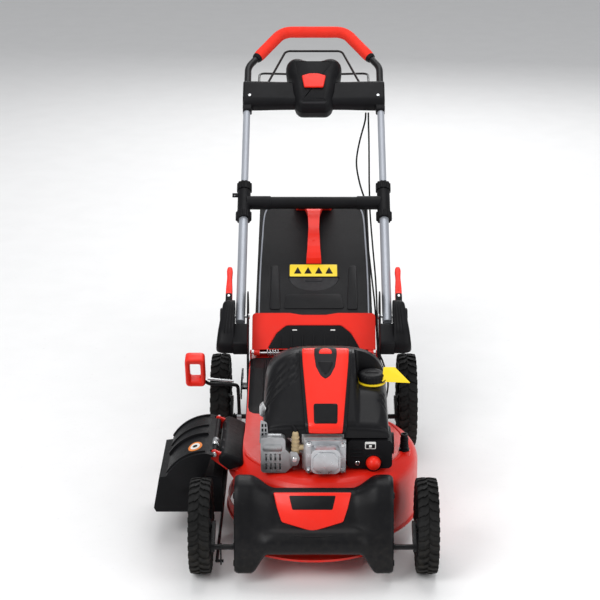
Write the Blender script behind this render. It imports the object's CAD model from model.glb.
import math

import bpy
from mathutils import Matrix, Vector


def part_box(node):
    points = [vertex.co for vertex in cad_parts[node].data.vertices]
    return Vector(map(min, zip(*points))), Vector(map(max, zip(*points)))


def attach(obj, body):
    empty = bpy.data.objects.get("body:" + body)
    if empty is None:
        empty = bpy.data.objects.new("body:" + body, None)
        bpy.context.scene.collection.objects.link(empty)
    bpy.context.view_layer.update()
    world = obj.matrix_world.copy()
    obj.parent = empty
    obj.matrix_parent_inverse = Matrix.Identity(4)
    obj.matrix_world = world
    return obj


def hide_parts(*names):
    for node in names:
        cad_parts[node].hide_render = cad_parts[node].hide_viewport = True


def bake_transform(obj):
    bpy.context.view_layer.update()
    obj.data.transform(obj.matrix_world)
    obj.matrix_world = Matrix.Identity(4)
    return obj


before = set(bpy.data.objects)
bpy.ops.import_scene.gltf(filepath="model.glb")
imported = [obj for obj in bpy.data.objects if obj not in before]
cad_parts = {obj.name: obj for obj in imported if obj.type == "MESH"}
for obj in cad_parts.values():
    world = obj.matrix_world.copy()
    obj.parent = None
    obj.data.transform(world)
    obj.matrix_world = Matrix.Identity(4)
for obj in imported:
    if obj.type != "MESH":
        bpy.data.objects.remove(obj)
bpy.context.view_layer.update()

# ---- Places: the mower's own frame in millimetres, turned into the row frame in metres ----
MM = 0.001
SPINDLE_X = 20
spindle = (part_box("crankshaft")[0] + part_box("crankshaft")[1]) / 2
HANDLE_PIVOT = (429, 347)
HANDLE_ANGLE = math.radians(35)
LID_ORIGIN = (470, 336)
LID_ANGLE = math.radians(18)
SLOPE_ORIGIN = (26, -134, 300)
SLOPE_ANGLE = math.radians(40.16)
SLOPE_LENGTH = 167.5
LIP_RADIUS = 24
TUBE_X = 183.5


def at(x, y, z):
    """A point measured from the blade spindle and the ground."""
    return Vector((spindle.x + (x - SPINDLE_X) * MM, spindle.y + y * MM, z * MM))


def leaning(x, origin, angle, along, off):
    c, s = math.cos(angle), math.sin(angle)
    return at(x, origin[0] + along * c - off * s, origin[1] + along * s + off * c)


def on_handle(x, s, t):
    return leaning(x, HANDLE_PIVOT, HANDLE_ANGLE, s, t)


def on_lid(x, v, w):
    return leaning(x, LID_ORIGIN, LID_ANGLE, v, w)


def on_cover(u, v, w):
    """On the engine cover's sloping front: across, up the slope, out of it.
    It bends over the cover's lower lip and its top edge."""
    bend = (max(0.0, -v) - max(0.0, v - SLOPE_LENGTH)) / LIP_RADIUS
    turn = max(-SLOPE_ANGLE, min(math.pi / 2 - SLOPE_ANGLE, bend))
    rest = (bend - turn) * LIP_RADIUS
    along = max(0.0, min(SLOPE_LENGTH, v))
    angle = SLOPE_ANGLE + turn
    base_y = SLOPE_ORIGIN[1] + along * math.cos(SLOPE_ANGLE)
    base_z = SLOPE_ORIGIN[2] + along * math.sin(SLOPE_ANGLE)
    return at(SLOPE_ORIGIN[0] + u, base_y - w * math.sin(angle) - rest * math.cos(angle),
              base_z + w * math.cos(angle) - rest * math.sin(angle))


def facing_front(y):
    """A plane square to Y: across, up, out towards the viewer."""
    return lambda u, v, w: at(u, y - w, v)


def moved(place, du, dv, dw=0):
    """The same place with its origin moved."""
    return lambda u, v, w: place(du + u, dv + v, dw + w)


def sideways(place, hand=1):
    """A place whose last measure runs across the mower; hand -1 mirrors it to the left."""
    return lambda u, v, w: place(hand * w, u, v)


def coil(points, spot):
    """A spring's path, twelve points to a turn, from spot(i, cosine, sine)."""
    turns = [2 * math.pi * i / 12 for i in range(points)]
    return [spot(i, math.cos(a), math.sin(a)) for i, a in enumerate(turns)]


SIDES = ((-1, "left"), (1, "right"))


# ---- Outlines ----
def rounded(points, radius, n=5):
    """The outline with every corner rounded; radius is one number or one for each corner."""
    out = []
    count = len(points)
    for i, p in enumerate(points):
        r = radius[i] if isinstance(radius, (list, tuple)) else radius
        a = Vector(points[i - 1]) - Vector(p)
        b = Vector(points[(i + 1) % count]) - Vector(p)
        reach = min(r, a.length * 0.45, b.length * 0.45)
        start, end = Vector(p) + a.normalized() * reach, Vector(p) + b.normalized() * reach
        for k in range(n + 1):
            t = k / n
            q = (1 - t) ** 2 * start + 2 * t * (1 - t) * Vector(p) + t * t * end
            out.append((q.x, q.y))
    return out


def rectangle(x0, y0, x1, y1, radius):
    return rounded([(x0, y0), (x1, y0), (x1, y1), (x0, y1)], radius)


def area_of(outline):
    return sum(a[0] * b[1] - b[0] * a[1] for a, b in zip(outline, outline[1:] + outline[:1])) / 2


def inset(outline, d):
    """Every point moved inwards by d along its corner's middle line."""
    if d == 0:
        return list(outline)
    sign = 1 if area_of(outline) > 0 else -1
    out = []
    for i, p in enumerate(outline):
        a = Vector(p) - Vector(outline[i - 1])
        b = Vector(outline[(i + 1) % len(outline)]) - Vector(p)
        if a.length < 1e-6 or b.length < 1e-6:
            a = b = a + b
        n = Vector((-(a.normalized() + b.normalized()).y, (a.normalized() + b.normalized()).x))
        n = n.normalized() * d * sign
        out.append((p[0] + n.x, p[1] + n.y))
    return out


# ---- Mesh builders ----
class Piece:
    """Points and faces collected for one mesh object."""

    def __init__(self):
        self.verts, self.faces = [], []

    def ring_stack(self, rings, closed=True, caps=(True, True)):
        start = len(self.verts)
        n = len(rings[0])
        for ring in rings:
            self.verts.extend(ring)
        for j in range(len(rings) - 1):
            for i in range(n if closed else n - 1):
                a, b = start + j * n + i, start + j * n + (i + 1) % n
                self.faces.append((a, b, b + n, a + n))
        if caps[0]:
            self.faces.append(tuple(start + i for i in reversed(range(n))))
        if caps[1]:
            self.faces.append(tuple(start + (len(rings) - 1) * n + i for i in range(n)))
        return self

    def slab(self, outline, place, low, high, bevel=1.0, steps=3):
        """A plate with rounded edges: outline in (u, v), thick from low to high."""
        levels = [(low + bevel * (1 - math.cos(k / steps * math.pi / 2)),
                   bevel * (1 - math.sin(k / steps * math.pi / 2))) for k in range(steps + 1)]
        levels += [(high - (w - low), d) for w, d in reversed(levels)]
        rings = [[place(u, v, w) for u, v in inset(outline, d)] for w, d in levels]
        return self.ring_stack(rings)

    def dome(self, outline, place, levels):
        """A crowned form: each level is (height, inset)."""
        return self.ring_stack([[place(u, v, w) for u, v in inset(outline, d)] for w, d in levels])

    def turned(self, profile, place, n=48, first=True, last=True):
        """A turned form: profile is (radius, height) up the axis of place(u, v, w)."""
        rings = [[place(r * math.cos(2 * math.pi * i / n), r * math.sin(2 * math.pi * i / n), h)
                  for i in range(n)] for r, h in profile]
        return self.ring_stack(rings, caps=(first, last))

    def tube(self, path, radius, n=14):
        """A round bar along a path; radius is one number or one for each point."""
        count = len(path)
        up = None
        rings = []
        for i in range(count):
            d = (path[min(i + 1, count - 1)] - path[max(i - 1, 0)]).normalized()
            if up is None:
                up = d.orthogonal().normalized()
            up = (up - d * up.dot(d)).normalized()
            side = d.cross(up)
            r = (radius[i] if isinstance(radius, (list, tuple)) else radius) * MM
            rings.append([path[i] + r * (math.cos(2 * math.pi * k / n) * up
                                         + math.sin(2 * math.pi * k / n) * side) for k in range(n)])
        return self.ring_stack(rings)

    def block(self, corners):
        """Eight corners: four below, then four above in the same order."""
        return self.ring_stack([corners[:4], corners[4:]])

    def make(self, name, material, slot, body="chassis", replaces=(), smooth=40):
        mesh = bpy.data.meshes.new(name)
        mesh.from_pydata([tuple(v) for v in self.verts], [], self.faces)
        mesh.validate()
        tidy_normals(mesh)
        for p in mesh.polygons:
            p.use_smooth = True
        mesh.set_sharp_from_angle(angle=math.radians(smooth))
        mesh.materials.append(material)
        obj = bpy.data.objects.new(name, mesh)
        bpy.context.scene.collection.objects.link(obj)
        if replaces:
            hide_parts(*replaces)
        if body:
            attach(obj, body)
        return obj


def tidy_normals(mesh):
    import bmesh
    bm = bmesh.new()
    bm.from_mesh(mesh)
    bmesh.ops.recalc_face_normals(bm, faces=bm.faces)
    bm.to_mesh(mesh)
    bm.free()


def smooth_path(points, steps=6):
    """A Catmull-Rom curve through the points."""
    out = []
    last = len(points) - 1
    for i in range(last):
        a, b, c, d = (points[max(i - 1, 0)], points[i], points[i + 1], points[min(i + 2, last)])
        for k in range(steps):
            t = k / steps
            out.append(0.5 * (2 * b + (c - a) * t + (2 * a - 5 * b + 4 * c - d) * t * t
                              + (3 * b - a - 3 * c + d) * t * t * t))
    out.append(points[last])
    return out


def bent_path(points, bend, steps=8):
    """Straight runs joined by bends of one radius."""
    out = [points[0]]
    for i in range(1, len(points) - 1):
        a, b = (points[i - 1] - points[i]).normalized(), (points[i + 1] - points[i]).normalized()
        half = a.angle(b) / 2
        reach = bend * MM / math.tan(half)
        mid = (a + b).normalized() * (bend * MM / math.sin(half))
        centre = points[i] + mid
        start, end = points[i] + a * reach - centre, points[i] + b * reach - centre
        turn = start.angle(end)
        for k in range(steps + 1):
            t = k / steps
            swept = start * math.sin((1 - t) * turn) + end * math.sin(t * turn)
            out.append(centre + swept / math.sin(turn))
    out.append(points[-1])
    return out


# ---- Materials ----
def finish(name, colour, rough, metal=0.0, vary=0.12, grain=600, bump=0.15, coat=0.0,
           rough_vary=0.12, dust=0.0, second=None, split=None, shine=0.5):
    """A surface with uneven colour, fine grain, uneven gloss and, near the ground, dust.
    second is another colour above the height split, in metres."""
    m = bpy.data.materials.new(name)
    m.use_nodes = True
    nodes, links = m.node_tree.nodes, m.node_tree.links
    shader = nodes["Principled BSDF"]
    shader.inputs["Metallic"].default_value = metal
    shader.inputs["Coat Weight"].default_value = coat
    shader.inputs["Coat Roughness"].default_value = 0.08
    shader.inputs["Specular IOR Level"].default_value = shine
    place = nodes.new("ShaderNodeTexCoord")

    def noise(scale, detail):
        n = nodes.new("ShaderNodeTexNoise")
        n.inputs["Scale"].default_value = scale
        n.inputs["Detail"].default_value = detail
        links.new(place.outputs["Object"], n.inputs["Vector"])
        return n.outputs["Fac"]

    def height():
        separate = nodes.new("ShaderNodeSeparateXYZ")
        links.new(place.outputs["Object"], separate.inputs[0])
        return separate.outputs["Z"]

    def ramp(value, low, high, to_low, to_high):
        r = nodes.new("ShaderNodeMapRange")
        r.inputs["From Min"].default_value = low
        r.inputs["From Max"].default_value = high
        r.inputs["To Min"].default_value = to_low
        r.inputs["To Max"].default_value = to_high
        links.new(value, r.inputs["Value"])
        return r.outputs["Result"]

    def mix(fac, a, b):
        x = nodes.new("ShaderNodeMix")
        x.data_type = "RGBA"
        links.new(fac, x.inputs["Factor"])
        for socket, value in ((x.inputs[6], a), (x.inputs[7], b)):
            if isinstance(value, tuple):
                socket.default_value = (*value, 1)
            else:
                links.new(value, socket)
        return x.outputs[2]

    def shade(c, k):
        return tuple(min(1.0, max(0.0, v * k)) for v in c)

    cloud = noise(9, 3)
    speck = noise(90, 4)

    def clouded(c):
        return mix(ramp(cloud, 0.35, 0.65, 0, 1), shade(c, 1 - vary), shade(c, 1 + vary))

    colour_out = clouded(colour)
    if second:
        above = ramp(height(), split - 0.001, split + 0.001, 0, 1)
        colour_out = mix(above, colour_out, clouded(second))
    worn = mix(ramp(speck, 0.62, 0.8, 0, 0.25), colour_out, tuple(c * 0.75 + 0.02 for c in colour))
    if dust:
        low = ramp(height(), 0.0, 0.16, dust, 0.0)
        patchy = nodes.new("ShaderNodeMath")
        patchy.operation = "MULTIPLY"
        links.new(low, patchy.inputs[0])
        links.new(ramp(speck, 0.35, 0.7, 0, 1), patchy.inputs[1])
        worn = mix(patchy.outputs[0], worn, (0.22, 0.19, 0.15))
    links.new(worn, shader.inputs["Base Color"])
    links.new(ramp(speck, 0.3, 0.7, max(0.04, rough - rough_vary), min(1.0, rough + rough_vary)),
              shader.inputs["Roughness"])
    relief = nodes.new("ShaderNodeBump")
    relief.inputs["Strength"].default_value = bump
    relief.inputs["Distance"].default_value = 0.0006
    links.new(noise(grain, 3), relief.inputs["Height"])
    links.new(relief.outputs["Normal"], shader.inputs["Normal"])
    return m


RED = (0.66, 0.014, 0.006)
BLACK = (0.006, 0.006, 0.007)
GLOSS_BLACK = (0.005, 0.005, 0.006)
TUBE_GREY = (0.36, 0.38, 0.42)
mat_deck = finish("mat_deck_enamel", RED, 0.34, vary=0.06, grain=140, bump=0.05, coat=0.06,
                  dust=0.25, rough_vary=0.05, shine=0.3)
mat_red = finish("mat_red_gloss", (0.82, 0.02, 0.008), 0.36, vary=0.04, grain=300, bump=0.04,
                 coat=0.04, rough_vary=0.04, shine=0.3)
mat_red_satin = finish("mat_red_satin", (0.72, 0.02, 0.01), 0.42, vary=0.06, grain=500, bump=0.12,
                       shine=0.35)
mat_foam = finish("mat_red_foam", (0.78, 0.03, 0.015), 0.8, vary=0.08, grain=900, bump=0.5, shine=0.25)
mat_black = finish("mat_black_moulding", BLACK, 0.46, vary=0.2, grain=1400, bump=0.25, shine=0.12,
                   rough_vary=0.05)
mat_black_gloss = finish("mat_black_gloss", GLOSS_BLACK, 0.34, vary=0.15, grain=900,
                         bump=0.06, shine=0.2, rough_vary=0.03)
mat_bumper = finish("mat_bumper", GLOSS_BLACK, 0.4, vary=0.2, grain=1500, bump=0.25, dust=0.06,
                    shine=0.16, rough_vary=0.05)
mat_grey = finish("mat_grey_moulding", (0.018, 0.018, 0.02), 0.5, vary=0.15, grain=1200, bump=0.3,
                  shine=0.14)
mat_coated = finish("mat_black_coated_steel", BLACK, 0.34, vary=0.2, grain=500,
                    bump=0.12, shine=0.25)
mat_rubber = finish("mat_rubber", (0.008, 0.008, 0.009), 0.75, vary=0.25, grain=1100, bump=0.4,
                    dust=0.1, shine=0.14)
mat_tyre = finish("mat_tyre", (0.009, 0.009, 0.009), 0.72, vary=0.3, grain=900, bump=0.45, dust=0.14,
                  shine=0.16)
mat_steel = finish("mat_bare_steel", (0.5, 0.51, 0.53), 0.34, 1.0, vary=0.15, grain=500, bump=0.2)
mat_zinc = finish("mat_zinc", (0.62, 0.63, 0.64), 0.28, 1.0, vary=0.1, grain=400, bump=0.12)
mat_cast = finish("mat_cast_alloy", (0.4, 0.4, 0.4), 0.5, 1.0, vary=0.14, grain=420, bump=0.6)
mat_cover = finish("mat_valve_cover", (0.55, 0.56, 0.58), 0.36, 0.9, vary=0.08, grain=420, bump=0.35)
mat_guard = finish("mat_muffler_guard", (0.42, 0.43, 0.44), 0.4, 0.9, vary=0.15, grain=300, bump=0.2)
mat_iron = finish("mat_iron", (0.16, 0.16, 0.17), 0.6, 0.8, vary=0.2, grain=300, bump=0.6)
mat_boot = finish("mat_plug_boot", (0.42, 0.32, 0.18), 0.45, vary=0.12, grain=500, bump=0.2)
mat_tube = finish("mat_tube", TUBE_GREY, 0.36, 0.35, vary=0.03, grain=500, bump=0.03,
                  rough_vary=0.03)
mat_hoop = finish("mat_hoop", TUBE_GREY, 0.36, 0.2, vary=0.03, grain=500, bump=0.03,
                  second=BLACK, split=on_handle(0, 740, 0).z, shine=0.35, rough_vary=0.03)
mat_cloth = finish("mat_bag_cloth", (0.008, 0.008, 0.009), 0.95, vary=0.3, grain=1600, bump=0.8,
                   shine=0.06)
mat_piping = finish("mat_piping", (0.30, 0.32, 0.36), 0.6, vary=0.1, grain=900, bump=0.3)
mat_yellow = finish("mat_yellow_label", (0.86, 0.62, 0.01), 0.4, vary=0.04, grain=300, bump=0.05)
mat_orange = finish("mat_orange_label", (0.72, 0.2, 0.02), 0.45, vary=0.08, grain=300, bump=0.05)
mat_white = finish("mat_white_label", (0.72, 0.72, 0.7), 0.45, vary=0.05, grain=300, bump=0.05)

CAD_FINISH = {
    mat_deck: ["deck"],
    mat_bumper: ["front_bumper"],
    mat_red: ["bumper_badge", "shroud_panel", "rear_door", "bag_handle", "primer_bulb"],
    mat_red_satin: ["clamp_lever_left", "clamp_lever_right", "height_lever"],
    mat_foam: ["foam_grip"],
    mat_black: ["handle_brackets", "air_filter_box", "fuel_cap", "side_flap", "side_chute", "bag_lid",
                "dash_console", "twist_collar_left", "twist_collar_right", "washout_nipple", "crossbar"],
    mat_black_gloss: ["blower_shroud", "fuel_tank"],
    mat_grey: ["gearbox", "fill_flap", "rim_front_left", "rim_front_right", "rim_rear_left",
               "rim_rear_right"],
    mat_coated: ["brake_bail", "drive_bail", "axle_brackets", "rear_axle", "front_axle", "tie_rod"],
    mat_rubber: ["rear_skirt", "drive_belt", "cables_upper", "cables_lower"],
    mat_tyre: ["tyre_front_left", "tyre_front_right", "tyre_rear_left", "tyre_rear_right"],
    mat_steel: ["crankshaft", "blade_adapter", "blade", "gearbox_pulley"],
    mat_zinc: ["pivot_pins"],
    mat_cast: ["crankcase", "cylinder_block", "piston", "connecting_rod"],
    mat_cover: ["valve_cover"],
    mat_guard: ["muffler"],
    mat_iron: ["flywheel"],
    mat_boot: ["spark_plug"],
    mat_tube: ["lower_tubes"],
    mat_hoop: ["upper_hoop"],
    mat_cloth: ["grass_bag"],
}
for material, names in CAD_FINISH.items():
    for node_name in names:
        for slot_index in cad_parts[node_name].material_slots:
            slot_index.material = material

# ---- Wheels ----
def wheel(corner, x, y, r):
    name, tyre_node, rim_node = "wheel_" + corner, "tyre_" + corner, "rim_" + corner
    half = 23
    side = 1 if x > 0 else -1

    def place(u, v, w):
        return at(x + side * w, y + u, r + v)

    base = r - 4.5
    profile = [(r - 24, -half + 3), (r - 16, -half + 0.6), (base - 5, -half + 0.8),
               (base - 1.5, -half + 3.5), (base, -half + 7), (base, half - 7), (base - 1.5, half - 3.5),
               (base - 5, half - 0.8), (r - 16, half - 0.6), (r - 24, half - 3)]
    n = 96
    last = (len(profile) - 1) * n
    tyre = Piece().turned(profile, place, n=n, first=False, last=False)
    tyre.faces.extend([(i, (i + 1) % n, last + (i + 1) % n, last + i) for i in range(n)])

    def on_tread(angle, w, lift):
        edge = max(0.0, abs(w) - (half - 7))
        rr = base + lift - edge * edge * 0.06
        a = math.radians(angle)
        return place(rr * math.cos(a), rr * math.sin(a), w)

    count = 30
    step = 360 / count
    for i in range(count):
        for hand in (-1, 1):
            a0 = i * step + (step / 2 if hand > 0 else 0)
            # slanted bar from the middle of the tread to the shoulder, drawn as two joined blocks
            for (w0, w1, lean0, lean1) in ((1.0, 10.0, 0, 3.4), (9.8, 21.5, 3.3, 4.6)):
                low, high = [], []
                for a, w in ((a0 + lean0, w0), (a0 + lean1, w1), (a0 + lean1 + step * 0.5, w1),
                             (a0 + lean0 + step * 0.38, w0)):
                    low.append(on_tread(a, hand * w, -1.5))
                    high.append(on_tread(a, hand * w, 4.3))
                tyre.block(low + high)
            # shoulder lug running down the side wall
            a1 = a0 + 4.6
            low, high = [], []
            for a, rr in ((a1, r - 4), (a1 + step * 0.5, r - 4), (a1 + step * 0.42, r - 17),
                          (a1 + 0.8, r - 17)):
                c, s = math.cos(math.radians(a)), math.sin(math.radians(a))
                low.append(place(rr * c, rr * s, hand * (half - 3)))
                high.append(place((rr - 1) * c, (rr - 1) * s, hand * (half - 0.15)))
            tyre.block(low + high)
    tyre.make(name + "_tyre_tread", mat_tyre, tyre_node, name, [tyre_node], smooth=30)
    # red domed cap with a ring groove
    cap = [(26, half - 4), (31, half - 5), (31, half - 3.4), (29.5, half - 2.4), (24, half - 1.8),
           (23, half - 2.4), (21, half - 1.2), (12, half - 0.4), (0.5, half - 0.2)]
    Piece().turned(cap, place, n=40).make(name + "_hub_cap", mat_red, rim_node, name)
    # ribs across the rim's face
    ribs = Piece()
    for k in range(10):
        a = math.radians(36 * k)
        c, s = math.cos(a), math.sin(a)

        def rib(q, off, w):
            return place(q * c - off * s, q * s + off * c, w)
        ribs.block([rib(32, -2, 2), rib(r - 33, -2, 2), rib(r - 33, 2, 2), rib(32, 2, 2),
                    rib(32, -1.2, 13), rib(r - 33, -1.2, 17), rib(r - 33, 1.2, 17), rib(32, 1.2, 13)])
    ribs.make(name + "_rim_ribs", mat_grey, rim_node, name)


for end, track, axle_y, radius in (("front", 245.5, -225, 105), ("rear", 236, 435, 118)):
    for hand, side_name in SIDES:
        wheel(f"{end}_{side_name}", hand * track, axle_y, radius)


# ---- Engine cover ----
def blend_step(low, high, value):
    t = min(1.0, max(0.0, (value - low) / (high - low)))
    return t * t * (3 - 2 * t)


def along_line(points, value):
    """Height at a place on a line of (place, height) points."""
    for (a, ha), (b, hb) in zip(points, points[1:]):
        if value <= b:
            return ha + (hb - ha) * max(0.0, value - a) / (b - a)
    return points[-1][1]


COVER_SIDE = [(-150, 290), (-149, 303), (-144, 312), (-16, 420), (-5, 425), (24, 423), (60, 414),
              (100, 397), (109, 388), (112, 372)]
LOBE_SIDE = [(-150, 292), (-148, 303), (-142, 310), (-76, 352), (-66, 357), (-50, 359), (98, 359),
             (112, 340)]
COVER_FOOT = 284
COVER_X, COVER_HALF = 26, 139


def cover_height(x, y):
    t = min(1.0, abs(x - COVER_X) / COVER_HALF)
    side = sum(along_line(COVER_SIDE, y + d) for d in (-4, 0, 4)) / 3
    main = COVER_FOOT + (side - COVER_FOOT) * (1 - t ** 3.4) ** (1 / 3.4)
    # louvres stepped across both upper shoulders, like overlapping boards
    across = abs(x - COVER_X)
    climb = (y + 144) * 1.31 + 0.75 * max(0.0, across - 58)
    if across > 60 and 118 < climb < 196:
        main -= 4.2 * blend_step(60, 66, across) * (1 - ((climb - 118) / 19.5) % 1)
    # the filler's lobe stands lower than the cover
    t = min(1.0, max(0.0, x - 60) / 106)
    lobe_side = sum(along_line(LOBE_SIDE, y + d) for d in (-4, 0, 4)) / 3
    lobe = COVER_FOOT + (lobe_side - COVER_FOOT) * (1 - t ** 5) ** (1 / 5)
    share = blend_step(90, 102, x) * (1 - blend_step(14, 26, y))
    return main * (1 - share) + min(main, lobe) * share


def strip(place, widths, low, high, round_edge, crown=0.0, steps=60):
    """A raised band along v: widths is a list of (v, half width)."""
    rings = []
    start, end = widths[0][0], widths[-1][0]
    for i in range(steps + 1):
        v = start + (end - start) * i / steps
        half = along_line(widths, v)
        reach = min(v - start, end - v)
        edge = min(1.0, reach / round_edge) if round_edge else 1.0
        top = low + (high - low) * math.sqrt(max(0.0, 1 - (1 - edge) ** 2))
        half -= 6 * (1 - math.sqrt(max(0.0, 1 - (1 - min(1.0, reach / 8)) ** 2)))
        r = min(2.2, (top - low) * 0.9)
        section = [(-half, low), (-half, top - r), (-half + 0.3 * r, top - 0.3 * r), (-half + r, top)]
        section += [(half * k, top + crown * (1 - k * k)) for k in (-0.6, -0.2, 0.2, 0.6)]
        section += [(half - r, top), (half - 0.3 * r, top - 0.3 * r), (half, top - r), (half, low)]
        rings.append([place(u, v, w) for u, w in section])
    return Piece().ring_stack(rings)


def shroud():
    shell = Piece()
    rings = []
    for i in range(121):
        y = -19 - 131 * math.cos(math.pi * i / 120)
        xs = [COVER_X - COVER_HALF * math.cos(math.pi * k / 110) for k in range(111)]
        rings.append([at(xs[0], y, COVER_FOOT - 4)] + [at(x, y, cover_height(x, y)) for x in xs]
                     + [at(xs[-1], y, COVER_FOOT - 4)])
    shell.ring_stack(rings).make(
        "shroud_shell", mat_black_gloss, "blower_shroud", replaces=["blower_shroud"], smooth=50)
    for name, material, slot, widths, *shape in (
            ("shroud_panel_surround", mat_black_gloss, "blower_shroud",
             [(-33, 45), (-10, 46), (160, 59), (198, 60)], 12, 19.6, 5),
            ("shroud_red_panel", mat_red, "shroud_panel",
             [(-30, 37), (-10, 38), (150, 51), (195, 53)], 17, 23.2, 5, 1.2),
            ("shroud_shield", mat_grey, "shroud_panel",
             [(104, 2), (114, 12), (136, 22), (166, 26), (191, 25)], 22, 25.0, 3, 0.6, 30),
            ("shroud_shield_core", mat_black_gloss, "shroud_panel",
             [(113, 1), (121, 9), (138, 16), (150, 18)], 24, 26.0, 3, 0.4, 20),
            ("shroud_shield_mark", mat_red, "shroud_panel",
             [(166, 17), (178, 13), (186, 7)], 24, 26.2, 3, 0.2, 12),
            ("shroud_plate", mat_black_gloss, "shroud_panel",
             [(-6, 26), (46, 27)], 22, 25.2, 2, 0.2, 20)):
        replaced = ["shroud_panel"] if name == "shroud_red_panel" else ()
        strip(on_cover, widths, *shape).make(name, material, slot, replaces=replaced, smooth=50)
    # clip and wire at the cover's left foot
    clip = rounded([(-120, 312), (-110, 306), (-104, 330), (-112, 342), (-120, 334)], 3)
    Piece().slab(clip, facing_front(-96), -6, 6, 1.5).make(
        "cover_clip", mat_zinc, "blower_shroud")


shroud()


def fuel_filler():
    place = moved(at, 130, -20)
    neck = [(20, 358), (31, 358.5), (32.5, 360.5), (32, 362.5), (28, 363), (20, 363)]
    Piece().turned(neck, place).make(
        "fuel_neck_ring", mat_yellow, "fuel_tank", replaces=["fuel_tank"])
    cap = Piece()
    n = 96
    rings = []
    knurls = 24
    for h, base, depth in ((363.5, 28, 0), (364, 29.6, 1.0), (367, 30, 1.5), (376, 29.8, 1.5),
                           (379.5, 28.4, 1.0), (381.5, 25, 0.2), (382.2, 19, 0), (381.6, 17, 0),
                           (381.4, 0.5, 0)):
        ring = []
        for i in range(n):
            a = 2 * math.pi * i / n
            r = base - depth * (0.5 + 0.5 * math.cos(knurls * a))
            ring.append(place(r * math.cos(a), r * math.sin(a), h))
        rings.append(ring)
    cap.ring_stack(rings).make("fuel_cap_knurled", mat_black, "fuel_cap", "fuel_cap", ["fuel_cap"])
    grip = Piece().slab(rectangle(-15, -4, 15, 4, 3), place, 380.5, 382.8, 1)
    grip.make("fuel_cap_bar", mat_black, "fuel_cap", "fuel_cap")
    # blank yellow hang tag on a thin strap
    tag = rounded([(2, 2), (66, 2), (32, 44), (6, 44)], 3)

    def tag_place(u, v, w):
        bow = 3.0 * math.sin(u / 60 * math.pi)
        return at(150 + u, -42 + 0.55 * v - w + bow, 366 + 0.62 * v + 0.2 * w - 0.04 * u)
    Piece().slab(tag, tag_place, 0, 0.9, 0.3).make("fuel_tag", mat_yellow, "fuel_tank")
    strap = smooth_path([at(143, -36, 364), at(150, -42, 366), at(156, -42, 368), at(160, -38, 370)], 5)
    Piece().tube(strap, 1.1, n=8).make("fuel_tag_strap", mat_black, "fuel_tank")
    for k in range(3):
        Piece().slab(rectangle(14 + 13 * k, 18, 22 + 13 * k, 22, 1), tag_place, 0.8, 1.2, 0.1).make(
            f"fuel_tag_mark_{k + 1}", mat_red, "fuel_tank")


fuel_filler()


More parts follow.
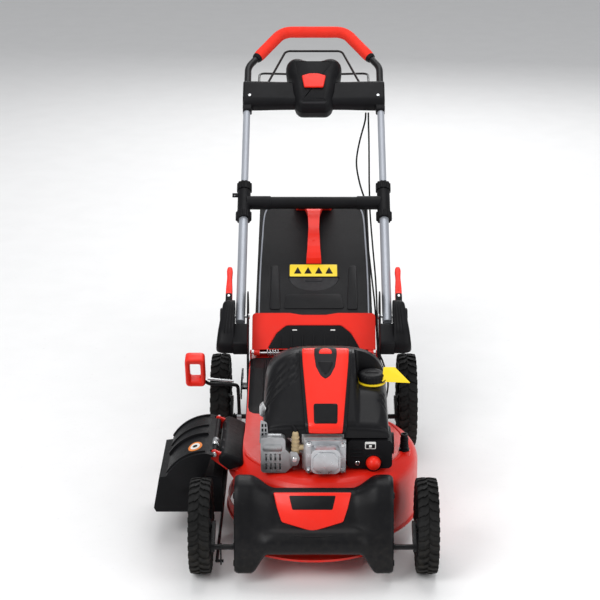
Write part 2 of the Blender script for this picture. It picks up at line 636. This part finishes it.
def engine_trim():
    # bolts and a raised eight-sided crown on the valve cover
    place = facing_front(-200)
    crown = rounded([(-2, 232), (10, 220), (42, 220), (54, 232), (54, 256), (42, 268), (10, 268),
                     (-2, 256)], 3)
    bolt = [(6.4, -24), (6.4, -21.5), (4.6, -21.3), (4.6, -16.5), (3.8, -15.8), (0.3, -15.8)]
    Piece().slab(crown, place, -1, 3.4, 1.2).make("valve_crown", mat_cover, "valve_cover")
    for i, (x, z) in enumerate(((-11, 215), (63, 215), (-11, 277), (63, 277))):
        Piece().turned(bolt, moved(place, x, z), n=6 if i % 2 else 24).make(
            f"valve_bolt_{i + 1}", mat_zinc, "valve_cover")
    # tab with a bolt beside the muffler guard
    tab = rounded([(-52, 222), (-36, 224), (-30, 240), (-36, 256), (-52, 258)], 4)
    Piece().slab(tab, facing_front(-171), -0.5, 2, 0.6).make("guard_tab", mat_guard, "muffler")
    Piece().turned([(6, 0), (6, 3.6), (5, 4.4), (0.3, 4.4)],
                   moved(facing_front(-173), -42, 240), n=6).make(
        "guard_bolt", mat_zinc, "muffler")
    # slotted ear that rises from the guard beside the cover, and the guard's rounded head
    ear = rounded([(-119, 268), (-98, 268), (-102, 318), (-116, 324)], 4)
    Piece().slab(ear, facing_front(-152), -0.8, 1.4, 0.5).make("guard_ear", mat_guard, "muffler")
    for k in range(3):
        for u in (-114, -107):
            slot = rectangle(u, 286 + 11 * k, u + 4, 293 + 11 * k, 1)
            Piece().slab(slot, facing_front(-153), 0, 1.4, 0.1).make(
                f"guard_ear_slot_{k + 1}_{-u}", mat_black, "muffler")
    circle = [(math.cos(math.radians(15 * k)), math.sin(math.radians(15 * k))) for k in range(24)]
    Piece().ring_stack([[at(x, -146 + r * c, 266 + r * s) for c, s in circle]
                        for x, r in ((-112, 23), (-111, 25), (-108, 26), (-72, 26), (-69, 25),
                                     (-68, 23))]).make(
        "guard_head", mat_guard, "muffler", smooth=50)
    # ribbed plug boot, lead and terminal
    lead = smooth_path([at(-40, -160, 296), at(-41, -158, 304), at(-50, -140, 306), at(-78, -110, 302),
                        at(-104, -70, 300), at(-112, -30, 304)], 6)
    Piece().tube(lead, 3.2, n=10).make("plug_lead", mat_rubber, "spark_plug")
    for k in range(4):
        foot, reach = 256 + 9 * k, 9.6 - 0.3 * k
        rib = [(7.2, foot), (reach, foot + 1), (reach, foot + 4), (7.2, foot + 5)]
        Piece().turned(rib, moved(at, -40, -160), n=24).make(
            f"plug_boot_rib_{k + 1}", mat_boot, "spark_plug")
    # choke label, screw and cover ribs on the air filter box
    front = facing_front(-155)
    for name, material, outline, low, high, bevel in (
            ("label", mat_white, rectangle(112, 256, 136, 273, 2.5), -0.5, 1.0, 0.3),
            ("field", mat_black_gloss, rectangle(114, 258, 134, 268, 1.5), 0.9, 1.5, 0.2),
            ("mark", mat_white, rectangle(121, 260, 127, 266, 1.0), 1.4, 1.9, 0.2)):
        Piece().slab(outline, front, low, high, bevel).make(
            f"choke_{name}", material, "air_filter_box")
    Piece().turned([(5.5, -1), (5.5, 2.4), (4.6, 3.2), (0.3, 3.2)],
                   moved(front, 96, 222), n=24).make(
        "filter_screw", mat_zinc, "air_filter_box")
    for k in range(3):
        Piece().slab(rectangle(82, 236 + 9 * k, 106, 240 + 9 * k, 1.8), front, -1, 2.2, 0.9).make(
            f"filter_rib_{k + 1}", mat_black, "air_filter_box")
    Piece().turned([(17.5, -1), (20.5, -0.5), (21, 1.5), (20, 2.6), (17.8, 2.2), (17.5, 1)],
                   moved(front, 131, 223), n=40, first=False, last=False).make(
        "primer_ring", mat_black, "air_filter_box")


engine_trim()


# ---- Dash ----
def dash():
    beam = rounded([(691, -10.5), (691, 14), (704, 27.5), (768, 27.5), (779.5, 14), (779.5, -10.5)],
                   [3, 9, 12, 12, 9, 3])
    half = [(50, 2.5), (90, 2.2), (150, 0.6), (189, 0), (192, 0.6), (194.5, 3)]
    stations = [(-x, d) for x, d in reversed(half)] + half
    Piece().dome(beam, sideways(on_handle), stations).make(
        "dash_beam", mat_black, "dash_console", "handle_upper", ["dash_console"])
    clamp = rounded([(676, -12.5), (676, 15.5), (711, 15.5), (711, -12.5)], 7)
    lug = rounded([(708, -28), (708, -8), (732, -8), (732, -28)], 4)
    for hand, name in SIDES:
        across = sideways(on_handle, hand)
        Piece().dome(clamp, across, [(170, 2.5), (171.5, 0.4), (193, 0.4), (194.5, 2.5)]).make(
            f"dash_clamp_{name}", mat_black, "dash_console", "handle_upper")
        Piece().turned([(4.6, 26.5), (4.6, 28.6), (3.8, 29.2), (0.3, 29.2)],
                       moved(on_handle, hand * 176, 716), n=20).make(
            f"dash_screw_{name}", mat_zinc, "dash_console", "handle_upper")
        Piece().dome(lug, across, [(145.5, 1), (146.3, 0), (151.7, 0), (152.5, 1)]).make(
            f"bail_lug_{name}", mat_black, "dash_console", "handle_upper")
    # console with two humps at its upper edge
    outline = [(-38, 673), (-52, 688), (-58, 722), (-62, 772), (-76, 796), (-78, 830), (-64, 845),
               (-38, 847), (0, 838)]
    full = outline + [(-x, s) for x, s in reversed(outline[:-1])]
    full = rounded(full, 12, n=4)

    def crown(u, v, w):
        hump = 8 * math.exp(-((abs(u) - 47) / 18) ** 2 - ((v - 822) / 26) ** 2)
        fall = 16 * max(0.0, (742 - v) / 70) ** 1.5
        return on_handle(u, v, w + (hump - fall if w > 8 else 0))
    levels = [(-21.5, 5), (-20, 3), (-12, 1.2), (4, 0), (16, 0.5), (26, 2.5), (33, 6), (38, 11),
              (41, 18), (42, 26)]
    Piece().dome(full, crown, levels).make(
        "dash_shell", mat_black, "dash_console", "handle_upper", smooth=60)
    lower = rounded([(-30, 684), (30, 684), (42, 700), (42, 712), (-42, 712), (-42, 700)], 5)

    def lower_place(u, v, w):
        return crown(u, v, 41.5 - 3.5 * (u / 40) ** 2 + w)
    Piece().slab(lower, lower_place, -4, 1.2, 1.2).make(
        "dash_lower_face", mat_grey, "dash_console", "handle_upper")
    badge = rounded([(-33, 772), (-12, 780), (12, 780), (33, 772), (26, 730), (-26, 730)], 4)

    def badge_place(u, v, w):
        return on_handle(u, v, w + 0.5 * math.cos(u / 30))
    Piece().slab(badge, badge_place, 40, 46.3, 2.2).make(
        "dash_badge", mat_red, "dash_console", "handle_upper")


dash()


# ---- Grips, levers and handles ----
def foam():
    share = 0.25
    side_x, side_s = TUBE_X + (88 - TUBE_X) * share, 845 + (980 - 845) * share
    path = bent_path([on_handle(side_x, side_s, 0), on_handle(88, 980, 0), on_handle(-88, 980, 0),
                      on_handle(-side_x, side_s, 0)], 50, 14)
    route = []
    for a, b in zip(path, path[1:]):
        pieces = max(1, int((b - a).length / 0.008))
        route += [a.lerp(b, k / pieces) for k in range(pieces)]
    route.append(path[-1])
    n = len(route)
    sizes = [15.9 - 2.6 * max(0.0, 1 - min(i, n - 1 - i) / 1.5) + 0.1 * math.sin(i * 0.7)
             for i in range(n)]
    grip = Piece().tube(route, sizes, n=28).make(
        "grip_foam", mat_foam, "foam_grip", "handle_upper", ["foam_grip"])
    for name, end, along in (("right", route[0], route[1] - route[0]),
                             ("left", route[-1], route[-2] - route[-1])):
        along = along.normalized()
        ring = [end - along * 0.004, end + along * 0.001, end + along * 0.0055]
        Piece().tube(ring, [12.2, 14.2, 14.6], n=24).make(
            f"grip_end_{name}", mat_black, "foam_grip", "handle_upper")


foam()


def clamp_levers():
    outline = rounded([(-8.6, -8), (8.6, -8), (8.2, 30), (6.4, 60), (7.8, 84), (5, 94.5), (-5, 94.5),
                       (-7.8, 84), (-6.4, 60), (-8.2, 30)], 6)
    for hand, name in SIDES:
        def on_lever(u, v, w, hand=hand):
            return on_handle(hand * (214 + u), 55 + v, w)
        node = f"clamp_lever_{name}"
        Piece().slab(outline, on_lever, -7.4, 7.4, 3.2).make(
            f"cam_lever_{name}", mat_red, node, node, [node])
        Piece().slab(rectangle(-3, 18, 3, 78, 3), on_lever, 6.8, 7.9, 0.4).make(
            f"cam_lever_rib_{name}", mat_red_satin, node, node)
        # round boss and bolt on the outer cover of the bracket
        boss = moved(sideways(at, hand), *HANDLE_PIVOT)
        Piece().turned([(21, 222), (21, 232), (19, 234), (13, 234), (12, 231.5), (0.4, 231.5)],
                       boss, n=40).make(
            f"bracket_boss_{name}", mat_black, "handle_brackets")
        Piece().turned([(8.4, 228), (8.4, 234), (7.6, 234.8), (0.4, 234.8)], boss, n=6).make(
            f"bracket_bolt_{name}", mat_zinc, "pivot_pins")


clamp_levers()


def brackets():
    """Tapering casings beside the tubes' feet, each with an inner plate."""
    outline = rounded([(-104, -18), (-70, -25), (30, -27), (43, -10), (42, 12), (30, 27), (-60, 29),
                       (-98, 12)], 12)
    foot = rounded([(-104, -21), (-30, -22), (-32, 20), (-96, 20)], 9)
    plate = rounded([(352, 152), (430, 152), (446, 262), (496, 350), (476, 400), (446, 402), (388, 330)],
                    [8, 8, 60, 16, 16, 16, 60])
    for hand, name in SIDES:
        def casing(s, t, x, hand=hand):
            taper = 0.62 + 0.38 * (43 - s) / 147
            point = on_handle(hand * (197.5 + (x - 197.5) * taper), s, t)
            point.z = max(point.z, 0.243)
            return point
        for part, shape, place, levels in (
                ("casing", outline, casing, [(197.5, 2), (199, 0.4), (202, 0), (224, 0), (233, 1.5),
                                             (239, 4), (242.5, 8), (243, 13)]),
                ("foot", foot, sideways(on_handle, hand), [(164, 1.5), (165.5, 0), (198, 0), (200, 1.5)]),
                ("plate", plate, sideways(at, hand), [(163.8, 0.8), (164.5, 0), (166.5, 0),
                                                      (167.2, 0.8)])):
            is_casing = part == "casing"
            Piece().dome(shape, place, levels).make(
                f"bracket_{part}_{name}", mat_black, "handle_brackets",
                replaces=["handle_brackets"] if is_casing else (), smooth=50 if is_casing else 40)
        for t, end in ((8.2, "front"), (-12.2, "back")):
            Piece().slab(rectangle(206, 34, 222, 63, 5),
                         lambda u, v, w, hand=hand: on_handle(hand * u, v, w), t, t + 4, 0.8).make(
                f"bracket_ear_{name}_{end}", mat_black, "handle_brackets")
        # three shallow ribs down the casing's face
        for k in range(3):
            path = [casing(s, 28.6 - 0.00055 * (s + 30) ** 2, 206 + 9 * k) for s in range(-70, 21, 10)]
            Piece().tube(path, [0.4, 1.4, 1.8, 1.8, 1.8, 1.8, 1.8, 1.8, 1.4, 0.4], n=8).make(
                f"bracket_rib_{name}_{k + 1}", mat_black, "handle_brackets")


brackets()


def height_lever():
    rod = smooth_path([at(-188, 379.4, 95.5), at(-188, 372, 116), at(-188, 345, 175), at(-189, 334, 196),
                       at(-197, 330, 203), at(-230, 329, 205), at(-256, 327, 207), at(-268, 318, 217),
                       at(-277, 306, 232)], 8)
    Piece().tube(rod, 4.3, n=16).make(
        "height_rod", mat_coated, "height_lever", "rear_axle", ["height_lever"])
    Piece().tube([at(-194, 379.37, 95.52), at(-182.6, 379.37, 95.52)], 10.8, n=28).make(
        "height_rod_boss", mat_steel, "height_lever", "rear_axle")
    lean = math.radians(16)

    def place(u, v, w):
        """Across, up the loop, towards the back."""
        return at(-290 + u, 298 + w * math.cos(lean) - v * math.sin(lean),
                  257 + v * math.cos(lean) + w * math.sin(lean))
    outer = rectangle(-24, -42, 24, 42, 11)
    inner = rectangle(-13.5, -27.5, 13.5, 27.5, 6)
    loop = Piece()
    steps = [(-16, 3.4), (-15, 1.2), (-12.5, 0), (12.5, 0), (15, 1.2), (16, 3.4)]
    outside = [[place(u, v, w) for u, v in inset(outer, d)] for w, d in steps]
    inside = [[place(u, v, w) for u, v in inset(inner, -d * 0.6)] for w, d in steps]
    loop.ring_stack(outside + list(reversed(inside)) + [outside[0]], caps=(False, False))
    loop.make("height_grip", mat_red, "height_lever", "rear_axle")
    Piece().tube([at(-198, 326, 214), at(-262, 321, 223)], 3.4, n=14).make(
        "height_bright_pin", mat_zinc, "height_lever", "rear_axle")


height_lever()


# ---- Cables: they bend between the two bodies that carry them ----
def cables():
    def route(points, radius, name, body_a, body_b, start, end, node, replaces=()):
        piece = Piece().tube(smooth_path(points, 6), radius, n=10)
        cable = piece.make(name, mat_rubber, node, None, replaces)
        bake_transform(cable)
        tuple(start)
        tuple(end)

    upper_start, upper_end = on_handle(140, 660, -20), on_handle(140, 400, -22)
    route([on_handle(150, 688, -14), on_handle(150, 660, -20), on_handle(150, 600, -22),
           on_handle(149, 520, -22), on_handle(148, 450, -22), on_handle(148, 388, -22)],
          2.4, "brake_cable_upper", "handle_upper", "handle_lower", upper_start, upper_end,
          "cables_upper", ["cables_upper"])
    route([on_handle(143, 688, -14), on_handle(140, 660, -20), on_handle(124, 590, -24),
           on_handle(115, 520, -25), on_handle(122, 450, -23), on_handle(136, 388, -22)],
          2.4, "drive_cable_upper", "handle_upper", "handle_lower", upper_start, upper_end,
          "cables_upper")
    lower_start, lower_end = at(160, 404, 280), at(150, 640, 460)
    brake = [(138, 84, 252), (150, 110, 244), (168, 150, 236), (180, 250, 234), (178, 300, 245),
             (168, 345, 266), (160, 372, 276), (159.8, 400, 286), (159.6, 420, 306), (159.4, 440, 328),
             (159.4, 490, 366), (158, 550, 406), (154, 620, 452), (150, 690, 500), (148, 738, 534),
             (148, 757, 549)]
    drive = [(165, 296, 130), (169, 300, 160), (172, 308, 190), (172, 320, 235), (168, 346, 250),
             (160, 372, 262), (159.6, 404, 273), (159, 430, 290), (157.6, 452, 314), (154, 500, 362),
             (150, 550, 394), (144, 620, 440), (138, 690, 492), (136, 738, 533), (136, 757, 549)]
    for name, points, replaced in (("brake", brake, ["cables_lower"]), ("drive", drive, ())):
        route([at(*p) for p in points], 2.2, f"{name}_cable_lower", "chassis", "handle_lower",
              lower_start, lower_end, "cables_lower", replaced)


cables()


# ---- Grass bag ----
BAG_STATIONS = [(452.5, 140, 311), (480, 139, 326), (540, 141, 346), (620, 150, 373), (700, 167, 399),
                (780, 186, 425), (850, 203, 448), (905, 218, 465), (940, 262, 474), (955, 300, 470)]


def bag_section(y, low, high, n=20):
    """Half-round cornered section that sags between its edges."""
    ring = []
    mid, tall = (low + high) / 2, (high - low) / 2
    # the cloth pulls in a little between the seams and hangs out at the foot
    for k in range(4 * n):
        a = 2 * math.pi * (k + 0.5) / (4 * n)
        c, s = math.cos(a), math.sin(a)
        u = math.copysign(abs(c) ** 0.26, c)
        v = math.copysign(abs(s) ** 0.26, s)
        wave = 1.0 * math.sin(y / 41 + 3 * v) + 0.7 * math.sin(y / 23 + k * 0.5)
        slack = 1 - abs((y - 700) / 260) ** 2 if abs(y - 700) < 260 else 0
        pull = 6.5 * math.cos(v * math.pi / 2) * slack
        side = 148.5 - pull * 0.5 + (wave if abs(u) > 0.8 and abs(v) < 0.95 else 0)
        sag = 3.2 * math.sin((y - 452) / 500 * math.pi) * (1 - u * u) if v < -0.9 else 0
        ripple = 0.6 * math.sin(y / 29 + u * 4) if v < -0.9 else 0
        ring.append(at(side * u, y, mid + tall * v + sag + ripple))
    return ring


def bag():
    stations = []
    for (y0, l0, h0), (y1, l1, h1) in zip(BAG_STATIONS, BAG_STATIONS[1:]):
        steps = max(1, int((y1 - y0) / 9))
        for k in range(steps):
            t = k / steps
            stations.append((y0 + (y1 - y0) * t, l0 + (l1 - l0) * t, h0 + (h1 - h0) * t))
    stations.append(BAG_STATIONS[-1])
    outside = [bag_section(*s) for s in stations]
    centre_line = [sum(ring, Vector()) / len(ring) for ring in outside]
    # the shell is one cloth with an inside, open at the front
    inside = [[p.lerp(c, 0.022) for p in ring] for ring, c in zip(outside, centre_line)]
    inside[-1] = [p + Vector((0, -0.003, 0)) for p in inside[-1]]
    shell = Piece()
    shell.ring_stack(list(reversed(inside)) + outside, caps=(True, True))
    shell.make("bag_cloth_shell", mat_cloth, "grass_bag", "grass_bag", ["grass_bag"], smooth=70)
    # piping along the four long seams and round the back
    n = len(outside[0])
    for q, name in enumerate(("upper_right", "upper_left", "lower_left", "lower_right")):
        k = int(n / 8 + q * n / 4)
        Piece().tube([ring[k] for ring in outside[1:]], 2.2, n=8).make(
            f"bag_seam_{name}", mat_coated if q > 1 else mat_piping, "grass_bag", "grass_bag")
    for j, name in ((2, "front"), (len(outside) // 2, "middle")):
        ring = outside[j]
        Piece().tube([p + (p - centre_line[j]) * 0.004 for p in ring] + [ring[0]], 1.6, n=8).make(
            f"bag_band_{name}", mat_coated, "grass_bag", "grass_bag")
    # hard front frame that hangs on the mower
    front = rectangle(-151, 140, 151, 311, 16)
    opening = rectangle(-139, 151, 139, 299, 10)

    def wall(u, v, w):
        return at(u, 452 + w, v)
    rim = Piece()
    rim.ring_stack([[wall(u, v, w) for u, v in inset(front, d)] for w, d in ((8, 2), (1, 2), (0.2, 3))]
                   + [[wall(u, v, w) for u, v in inset(opening, -d)]
                      for w, d in ((0.2, 1), (1, 0), (8, 0))]
                   + [[wall(u, v, 8) for u, v in inset(front, 2)]], caps=(False, False))
    rim.make("bag_front_frame", mat_black, "grass_bag", "grass_bag")


bag()


def lid():
    for hand, name in SIDES:
        path = smooth_path([on_lid(hand * x, v, 0.2) for x, v in
                            ((139, 4), (140, 150), (138, 320), (134, 440), (118, 492))], 10)
        Piece().tube(path, 2.1, n=10).make(f"lid_piping_{name}", mat_piping, "bag_lid", "grass_bag")
        # long shallow ribs pressed into the lid
        rib = rounded([(hand * 84, 20), (hand * 112, 20), (hand * 112, 205), (hand * 92, 205)], 8)
        Piece().slab(rib, on_lid, -1, 2.2, 1.6).make(f"lid_rib_{name}", mat_black, "bag_lid", "grass_bag")
    Piece().slab(rounded([(-78, 24), (78, 24), (70, 84), (-70, 84)], 10), on_lid, -1, 1.8, 1.4).make(
        "lid_step", mat_black, "bag_lid", "grass_bag")
    Piece().slab(rectangle(-63, 160, 61, 211, 3), on_lid, -0.5, 0.9, 0.3).make(
        "bag_label", mat_yellow, "bag_lid", "grass_bag")
    for x in (-41, -14, 14, 41):
        Piece().slab(rounded([(x - 11, 171), (x + 9, 171), (x - 1, 200)], 2), on_lid, 0.8, 1.3, 0.2).make(
            f"bag_label_mark_{x + 60}", mat_black, "bag_lid", "grass_bag")
    # dark arrow on the handle's top and a thumb dish in its foot
    def on_grip(u, v, w):
        q = v - 216 - 138
        return on_lid(u, v, -170 + math.sqrt(max(0, 229 ** 2 - q * q)) + w)
    Piece().slab(rounded([(-9, 455), (9, 455), (0, 438)], 2), on_grip, -0.6, 0.7, 0.3).make(
        "bag_handle_mark", mat_black, "bag_handle", "grass_bag")
    Piece().slab(rounded([(-4, 262), (4, 262), (3, 420), (-3, 420)], 2.5), on_grip, -1, 1.2, 0.8).make(
        "bag_handle_rib", mat_red, "bag_handle", "grass_bag")
    lip = rectangle(-22, -52, 22, -6, 6)
    Piece().slab(lip, lambda u, v, w: on_lid(u, 155 + v * 0.3, w), -1.5, 0.8, 0.6).make(
        "fill_flap_lip", mat_grey, "fill_flap", "fill_flap")


lid()


# ---- Rear door, side flap, deck and bumper details ----
def rear_details():
    def on_door(u, v, w):
        return leaning(u, (405, 258), math.radians(53), v, w)
    recess = rounded([(-116, 10), (116, 10), (94, 50), (69, 71), (-69, 71), (-94, 50)], 6)
    Piece().slab(recess, on_door, 2.6, 3.9, 0.8).make("door_recess", mat_black, "rear_door", "rear_door")
    for x in (-84, -56, -28, 0, 28, 56, 84):
        Piece().slab(rectangle(x - 2.5, 14, x + 2.5, 46, 2), on_door, 3.4, 5.4, 0.8).make(
            f"door_rib_{x + 100}", mat_black, "rear_door", "rear_door")
    for x in (-48, 48):
        Piece().slab(rectangle(x - 6, 57, x + 6, 60, 1), on_door, 3.5, 4.5, 0.2).make(
            f"door_mark_{x + 100}", mat_white, "rear_door", "rear_door")
    spring = coil(61, lambda i, c, s: at(-118 + 0.55 * i, 405 + 10 * c, 258 + 10 * s))
    Piece().tube(spring, 1.1, n=8).make("door_spring", mat_zinc, "rear_door", "rear_door")


rear_details()


def flap_details():
    def on_flap(u, a, w):
        """Along the mower, round the flap's roof, out of it."""
        r = 104 + w
        return at(-238 + r * math.cos(math.radians(a)), u, 120 + r * math.sin(math.radians(a)))

    def patch(name, uc, ac, half_u, half_a, low, high, material):
        turns = [2 * math.pi * k / 40 for k in range(40)]
        outline = [(uc + half_u * math.cos(t), ac + half_a * math.sin(t)) for t in turns]
        rings = [[on_flap(u, a, low) for u, a in outline], [on_flap(u, a, high) for u, a in outline]]
        Piece().ring_stack(rings).make(name, material, "side_flap", "side_flap", smooth=60)
    patch("flap_label_base", -66, 106, 22, 9, -0.4, 0.7, mat_orange)
    patch("flap_label_field", -66, 106, 15, 6, 0.5, 1.1, mat_white)
    patch("flap_label_mark", -66, 106, 6, 3, 1.0, 1.5, mat_black)
    for k, y in enumerate((-100, 40, 96)):
        rib = Piece()
        section = []
        for j in range(15):
            a = 92 + 58 * j / 14
            section.append([on_flap(y - 2.5, a, -1), on_flap(y + 2.5, a, -1), on_flap(y + 2.0, a, 3.4),
                            on_flap(y - 2.0, a, 3.4)])
        rib.ring_stack(section).make(f"flap_rib_{k + 1}", mat_black, "side_flap", "side_flap")
    spring = coil(73, lambda i, c, s: at(-222 + 8.2 * c, -60 + 0.5 * i, 217 + 8.2 * s))
    Piece().tube(spring, 1.2, n=8).make("flap_spring", mat_zinc, "pivot_pins")
    for out, end in ((-1, "front"), (1, "rear")):
        Piece().turned([(5.4, -2.5), (5.4, 2.5), (4.4, 3), (0.4, 3)],
                       lambda u, v, w, out=out: at(-222 + u, out * 101 + w * out, 217 + v), n=24).make(
            f"flap_pin_head_{end}", mat_zinc, "pivot_pins")


flap_details()


def deck_top(x, y):
    """Height of the round chamber's skin."""
    q = math.hypot(x - SPINDLE_X, y)
    if q <= 176:
        return 204
    return 162 + math.sqrt(max(0.0, 42 * 42 - (q - 176) ** 2))


def deck_details():
    # hex bolts round the engine's foot and on the hump
    for i, a in enumerate((20, 75, 160, 200)):
        x, y = SPINDLE_X + 108 * math.cos(math.radians(a)), 108 * math.sin(math.radians(a))
        Piece().turned([(11, 0), (11, 1.6), (10.4, 2.2), (7, 2.2), (7, 7), (6.2, 7.8), (0.4, 7.8)],
                       moved(at, x, y, deck_top(x, y)), n=6).make(
            f"deck_bolt_{i + 1}", mat_zinc, "deck")
    # raised rib pressed round the deck's shoulder, left open where the engine and flap stand
    for j, (a0, a1) in enumerate(((-62, 40), (198, 242))):
        path = []
        for k in range(41):
            a = math.radians(a0 + (a1 - a0) * k / 40)
            x, y = SPINDLE_X + 186 * math.cos(a), 186 * math.sin(a)
            path.append(at(x, y, deck_top(x, y) - 0.6))
        sizes = [0.6 + 3.0 * min(1, k / 5, (40 - k) / 5) for k in range(41)]
        Piece().tube(path, sizes, n=12).make(f"deck_bead_{j + 1}", mat_deck, "deck", smooth=60)
    # grip ribs on the hose nipple
    for k in range(3):
        Piece().turned([(8, 0), (9.4, 1), (9.4, 2), (8, 3)],
                       moved(at, 204, -50, 217.5 + 4 * k), n=28, first=False, last=False).make(
            f"nipple_rib_{k + 1}", mat_black, "washout_nipple")


deck_details()


NOSE_MIDDLE = [(-226, 197), (-250, 195.5), (-265, 180), (-278, 157), (-290, 136), (-307, 127),
               (-318, 107), (-314, 87), (-299, 74), (-278, 70), (-262, 82), (-250, 140), (-236, 186)]
NOSE_CHEEK = [(-200, 213), (-250, 223), (-275, 197), (-288, 165), (-299, 134), (-309, 110), (-313, 84),
              (-312, 58), (-309, 36), (-288, 24.5), (-263, 27), (-248, 92), (-216, 150)]


def nose_ring(x):
    """The bumper's section, which swells from the barrel into the cheeks and their feet."""
    flare = blend_step(82, 140, abs(x))
    foot = blend_step(98, 136, abs(x))
    points = []
    for i, (a, b) in enumerate(zip(NOSE_MIDDLE, NOSE_CHEEK)):
        share = foot if 6 <= i <= 10 else flare
        draw = max(0.0, abs(x) - 165) / 6
        y, z = a[0] + (b[0] - a[0]) * share, a[1] + (b[1] - a[1]) * share
        points.append(Vector((0, y + (-258 - y) * 0.07 * draw, z + (120 - z) * 0.04 * draw)))
    closed = smooth_path(points[-2:] + points + points[:2], 5)
    ring = closed[10:10 + 5 * len(points)]
    return [at(x, p.y, p.z) for p in ring]


def bumper_details():
    stations = [-171 + 342 * i / 76 for i in range(77)]
    Piece().ring_stack([nose_ring(x) for x in stations]).make(
        "bumper_shell", mat_bumper, "front_bumper", replaces=["front_bumper"], smooth=60)

    def on_nose(u, v, w):
        """On the bumper's sloping front: across, up, out."""
        return at(u - 3, -290 + 0.51 * v - 0.86 * w, 136 + 0.86 * v + 0.51 * w)
    badge = rounded([(-84, 73), (-76, 40), (-66, 10), (0, -10), (66, 10), (76, 40), (84, 73)],
                    [4, 3, 5, 5, 5, 3, 4])
    Piece().dome(badge, on_nose, [(-3, 0), (2.2, 0), (3.4, 0.5), (4.2, 1.8)]).make(
        "badge_shield", mat_red, "bumper_badge", replaces=["bumper_badge"])
    plate = rounded([(-50, 66), (-43, 36), (43, 36), (50, 66)], 3)
    Piece().slab(plate, on_nose, 3.4, 5.0, 0.6).make(
        "badge_plate", mat_black_gloss, "bumper_badge")
    # pressed line that follows the badge across the barrel
    bows = [(u, 1 - (u / 88) ** 2) for u in range(-84, 85, 6)]
    path = [on_nose(u + 3, -9 - 13 * bow, 3.0 + 8.5 * bow) for u, bow in bows]
    Piece().tube(path, 1.3, n=10).make("bumper_line", mat_bumper, "front_bumper")
    for hand, name in SIDES:
        for k, (y, z) in enumerate(((-262, 196), (-294, 92), (-296, 52))):
            Piece().turned([(7, 0), (7, 1.4), (6, 2.2), (4, 2.2), (3.6, 1.2), (0.4, 1.2)],
                           moved(sideways(at, hand), y, z, 171), n=24).make(
                f"cheek_screw_{name}_{k + 1}", mat_coated, "front_bumper")


bumper_details()


# ---- Black mouldings over the hump and the flap's hinge ----
HUMP_LINE = [(150, 203), (190, 207), (330, 247), (394, 248.5)]


def hump_cover():
    rings = []
    for i in range(41):
        y = 150 + 244 * i / 40
        top = along_line(HUMP_LINE, y)
        half = [(-161.5, 120), (-162.5, top - 14), (-160.5, top - 5), (-154, top - 0.6),
                (-144, top + 0.6), (-72, top + 2.2)]
        rings.append([at(x, y, z) for x, z in half] + [at(-x, y, z) for x, z in reversed(half)])
    Piece().ring_stack(rings).make("hump_cover", mat_black, "deck", smooth=50)
    for k, x in enumerate((-120, -84, 84, 120)):
        path = [at(x, y, along_line(HUMP_LINE, y) + 1.4) for y in range(170, 391, 11)]
        sizes = [1.2 + 2.4 * min(1, i / 3, (len(path) - 1 - i) / 3) for i in range(len(path))]
        Piece().tube(path, sizes, n=10).make(f"hump_rib_{k + 1}", mat_black, "deck")


hump_cover()


def hinge_housing():
    section = rounded([(-213, 198), (-212, 214), (-200, 222), (-184, 216), (-160, 204), (-156, 190),
                       (-190, 178)], 6)
    levels = [(-106, 5), (-104, 2), (-99, 0), (99, 0), (104, 2), (106, 5)]
    Piece().ring_stack([[at(x, y, z) for x, z in inset(section, d)] for y, d in levels]).make(
        "flap_hinge_housing", mat_black, "deck", smooth=50)
    for y in (-70, -30, 30, 70):
        rib = rectangle(y - 7, 0, y + 7, 22, 4)
        Piece().slab(rib, lambda u, v, w: at(-206 + v, u, 218 + w - 0.35 * v), -3, 3.4, 1.2).make(
            f"flap_hinge_rib_{y + 100}", mat_grey, "deck")


hinge_housing()

# ---- Camera, floor and light ----
camera = bpy.data.objects.new("camera", bpy.data.cameras.new("camera"))
bpy.context.scene.collection.objects.link(camera)
camera.location = at(0, -3439.6, 1798.6)
camera.rotation_euler = (math.radians(70), 0, 0)
camera.data.sensor_width = 36
camera.data.lens = 99
camera.data.shift_x = -0.023
bpy.context.scene.camera = camera

floor_mesh = bpy.data.meshes.new("floor")
FLOOR = 12
floor_mesh.from_pydata([(-FLOOR, -FLOOR, -0.001), (FLOOR, -FLOOR, -0.001), (FLOOR, FLOOR, -0.001),
                        (-FLOOR, FLOOR, -0.001)], [], [(0, 1, 2, 3)])
floor = bpy.data.objects.new("floor", floor_mesh)
bpy.context.scene.collection.objects.link(floor)
floor_mesh.materials.append(finish("mat_floor", (0.86, 0.86, 0.86), 0.85, vary=0.01, grain=60, bump=0.02))


def area_light(name, place, target, size, power):
    light = bpy.data.objects.new(name, bpy.data.lights.new(name, "AREA"))
    light.data.size = size
    light.data.energy = power
    light.location = place
    light.rotation_euler = (Vector(target) - Vector(place)).to_track_quat("-Z", "Y").to_euler()
    bpy.context.scene.collection.objects.link(light)


area_light("key", (-2.2, -3.2, 3.2), (0, 0, 0.35), 2.0, 95)
area_light("fill", (2.8, -2.4, 2.0), (0, 0, 0.35), 2.4, 46)
area_light("top", (0.2, 0.4, 3.6), (0, 0, 0.3), 2.6, 52)
area_light("back", (0.5, 3.4, 2.4), (0, 0, 0.4), 2.4, 50)
world = bpy.data.worlds.new("world")
world.use_nodes = True
world.node_tree.nodes["Background"].inputs["Color"].default_value = (0.95, 0.96, 0.98, 1)
world.node_tree.nodes["Background"].inputs["Strength"].default_value = 0.46
bpy.context.scene.world = world
bpy.context.scene.view_settings.view_transform = "Standard"
